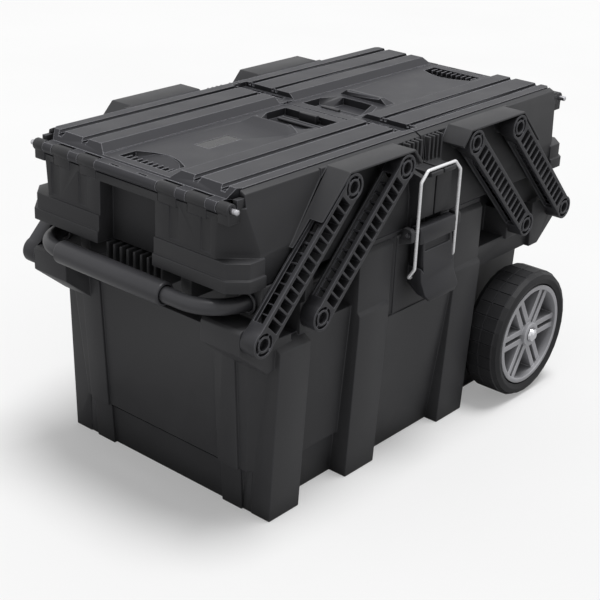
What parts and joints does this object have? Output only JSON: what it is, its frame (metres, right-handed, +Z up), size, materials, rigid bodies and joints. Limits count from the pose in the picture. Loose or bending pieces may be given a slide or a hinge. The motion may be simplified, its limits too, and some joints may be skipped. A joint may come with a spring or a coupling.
{
  "type": "jobsite storage box",
  "caption": "Wheeled jobsite tool chest: deep plastic tote under cantilever trays on ladder arms, hinged lids, wire draw latches and a slide-out pull handle.",
  "frame": {"origin": "centre of the tote's base on the floor", "axes": "+X along the length towards the wheels, -Y towards the latch side in the picture, +Z up"},
  "size_m": [0.6655, 0.416, 0.402],
  "materials": {
    "body_plastic": "fine moulded grain, charcoal",
    "lid_plastic": "fine moulded grain, charcoal",
    "arm_plastic": "smooth moulded, charcoal",
    "latch_plastic": "fine moulded grain, charcoal",
    "plate_plastic": "smooth, left bare",
    "pin_steel": "bright turned steel",
    "pin_black": "blackened steel",
    "wire_chrome": "plated wire",
    "tube_steel": "powder coated grey tube",
    "sleeve_plastic": "smooth moulded grey",
    "stop_plastic": "black moulded",
    "tyre_rubber": "matt black",
    "rim_plastic": "moulded charcoal",
    "cap_chrome": "bright push-on cap"
  },
  "bodies": {
    "tote": {"tote": "body_plastic", "lower_arm_pins": "pin_black", "front_latch_pin": "pin_steel", "back_latch_pin": "pin_steel", "axle": "pin_steel", "front_axle_cap": "cap_chrome", "back_axle_cap": "cap_chrome", "front_spacer": "stop_plastic", "back_spacer": "stop_plastic"},
    "left_tray": {"left_tray": "body_plastic", "left_arm_pins": "pin_black", "left_hinge_pin": "pin_steel"},
    "right_tray": {"right_tray": "body_plastic", "right_arm_pins": "pin_black", "right_hinge_pin": "pin_steel"},
    "left_lid": {"left_lid": "lid_plastic", "name_plate": "plate_plastic"},
    "right_lid": {"right_lid": "lid_plastic"},
    "left_catch": {"left_catch": "latch_plastic"},
    "right_catch": {"right_catch": "latch_plastic"},
    "front_lever": {"front_lever": "latch_plastic"},
    "back_lever": {"back_lever": "latch_plastic"},
    "front_bail": {"front_bail": "wire_chrome"},
    "back_bail": {"back_bail": "wire_chrome"},
    "handle": {"handle_tube": "tube_steel", "handle_sleeve": "sleeve_plastic", "handle_stops": "stop_plastic"},
    "front_wheel": {"front_tyre": "tyre_rubber", "front_rim": "rim_plastic"},
    "back_wheel": {"back_tyre": "tyre_rubber", "back_rim": "rim_plastic"},
    "left_front_arm_outer": {"left_front_arm_outer": "arm_plastic"},
    "left_front_arm_inner": {"left_front_arm_inner": "arm_plastic"},
    "left_back_arm_outer": {"left_back_arm_outer": "arm_plastic"},
    "left_back_arm_inner": {"left_back_arm_inner": "arm_plastic"},
    "right_front_arm_outer": {"right_front_arm_outer": "arm_plastic"},
    "right_front_arm_inner": {"right_front_arm_inner": "arm_plastic"},
    "right_back_arm_outer": {"right_back_arm_outer": "arm_plastic"},
    "right_back_arm_inner": {"right_back_arm_inner": "arm_plastic"}
  },
  "joints": [
    {"name": "left_front_arm_outer_swing", "type": "hinge", "parent": "tote", "child": "left_front_arm_outer", "pos_m": [-0.299, -0.176, 0.2444], "axis": [0, -1, 0], "range_deg": [0, 58]},
    {"name": "left_front_arm_inner_swing", "type": "hinge", "parent": "tote", "child": "left_front_arm_inner", "pos_m": [-0.205, -0.176, 0.2444], "axis": [0, -1, 0], "range_deg": [0, 58]},
    {"name": "left_back_arm_outer_swing", "type": "hinge", "parent": "tote", "child": "left_back_arm_outer", "pos_m": [-0.299, 0.176, 0.2444], "axis": [0, -1, 0], "range_deg": [0, 58]},
    {"name": "left_back_arm_inner_swing", "type": "hinge", "parent": "tote", "child": "left_back_arm_inner", "pos_m": [-0.205, 0.176, 0.2444], "axis": [0, -1, 0], "range_deg": [0, 58]},
    {"name": "left_tray_level", "type": "hinge", "parent": "left_front_arm_inner", "child": "left_tray", "pos_m": [-0.069, -0.176, 0.3825], "axis": [0, -1, 0], "range_deg": [-58, 0]},
    {"name": "left_lid_hinge", "type": "hinge", "parent": "left_tray", "child": "left_lid", "pos_m": [-0.314, 0, 0.385], "axis": [0, -1, 0], "range_deg": [0, 105]},
    {"name": "left_catch_slide", "type": "slide", "parent": "left_lid", "child": "left_catch", "axis": [-1, 0, 0], "range_m": [0, 0.006], "stiffness_N_per_m": 400},
    {"name": "right_front_arm_outer_swing", "type": "hinge", "parent": "tote", "child": "right_front_arm_outer", "pos_m": [0.299, -0.176, 0.2444], "axis": [0, 1, 0], "range_deg": [0, 58]},
    {"name": "right_front_arm_inner_swing", "type": "hinge", "parent": "tote", "child": "right_front_arm_inner", "pos_m": [0.205, -0.176, 0.2444], "axis": [0, 1, 0], "range_deg": [0, 58]},
    {"name": "right_back_arm_outer_swing", "type": "hinge", "parent": "tote", "child": "right_back_arm_outer", "pos_m": [0.299, 0.176, 0.2444], "axis": [0, 1, 0], "range_deg": [0, 58]},
    {"name": "right_back_arm_inner_swing", "type": "hinge", "parent": "tote", "child": "right_back_arm_inner", "pos_m": [0.205, 0.176, 0.2444], "axis": [0, 1, 0], "range_deg": [0, 58]},
    {"name": "right_tray_level", "type": "hinge", "parent": "right_front_arm_inner", "child": "right_tray", "pos_m": [0.069, -0.176, 0.3825], "axis": [0, 1, 0], "range_deg": [-58, 0]},
    {"name": "right_lid_hinge", "type": "hinge", "parent": "right_tray", "child": "right_lid", "pos_m": [0.314, 0, 0.385], "axis": [0, 1, 0], "range_deg": [0, 105]},
    {"name": "right_catch_slide", "type": "slide", "parent": "right_lid", "child": "right_catch", "axis": [1, 0, 0], "range_m": [0, 0.006], "stiffness_N_per_m": 400},
    {"name": "front_lever_hinge", "type": "hinge", "parent": "tote", "child": "front_lever", "pos_m": [0, -0.178, 0.295], "axis": [-1, 0, 0], "range_deg": [0, 110]},
    {"name": "front_bail_hinge", "type": "hinge", "parent": "front_lever", "child": "front_bail", "pos_m": [0, -0.175, 0.238], "axis": [-1, 0, 0], "range_deg": [-110, 0]},
    {"name": "front_wheel_spin", "type": "hinge", "parent": "tote", "child": "front_wheel", "pos_m": [0.22, -0.176, 0.088], "axis": [0, 1, 0], "continuous": true},
    {"name": "back_lever_hinge", "type": "hinge", "parent": "tote", "child": "back_lever", "pos_m": [0, 0.178, 0.295], "axis": [1, 0, 0], "range_deg": [0, 110]},
    {"name": "back_bail_hinge", "type": "hinge", "parent": "back_lever", "child": "back_bail", "pos_m": [0, 0.175, 0.238], "axis": [1, 0, 0], "range_deg": [-110, 0]},
    {"name": "back_wheel_spin", "type": "hinge", "parent": "tote", "child": "back_wheel", "pos_m": [0.22, 0.176, 0.088], "axis": [0, 1, 0], "continuous": true},
    {"name": "handle_slide", "type": "slide", "parent": "tote", "child": "handle", "axis": [-1, 0, 0], "range_m": [0, 0.22]}
  ],
  "couplings": [
    {"joint": "left_front_arm_outer_swing", "follows": "left_front_arm_inner_swing", "ratio": 1},
    {"joint": "left_back_arm_outer_swing", "follows": "left_front_arm_inner_swing", "ratio": 1},
    {"joint": "left_back_arm_inner_swing", "follows": "left_front_arm_inner_swing", "ratio": 1},
    {"joint": "left_tray_level", "follows": "left_front_arm_inner_swing", "ratio": -1},
    {"joint": "right_front_arm_outer_swing", "follows": "right_front_arm_inner_swing", "ratio": 1},
    {"joint": "right_back_arm_outer_swing", "follows": "right_front_arm_inner_swing", "ratio": 1},
    {"joint": "right_back_arm_inner_swing", "follows": "right_front_arm_inner_swing", "ratio": 1},
    {"joint": "right_tray_level", "follows": "right_front_arm_inner_swing", "ratio": -1},
    {"joint": "front_bail_hinge", "follows": "front_lever_hinge", "ratio": -1},
    {"joint": "back_bail_hinge", "follows": "back_lever_hinge", "ratio": -1}
  ]
}
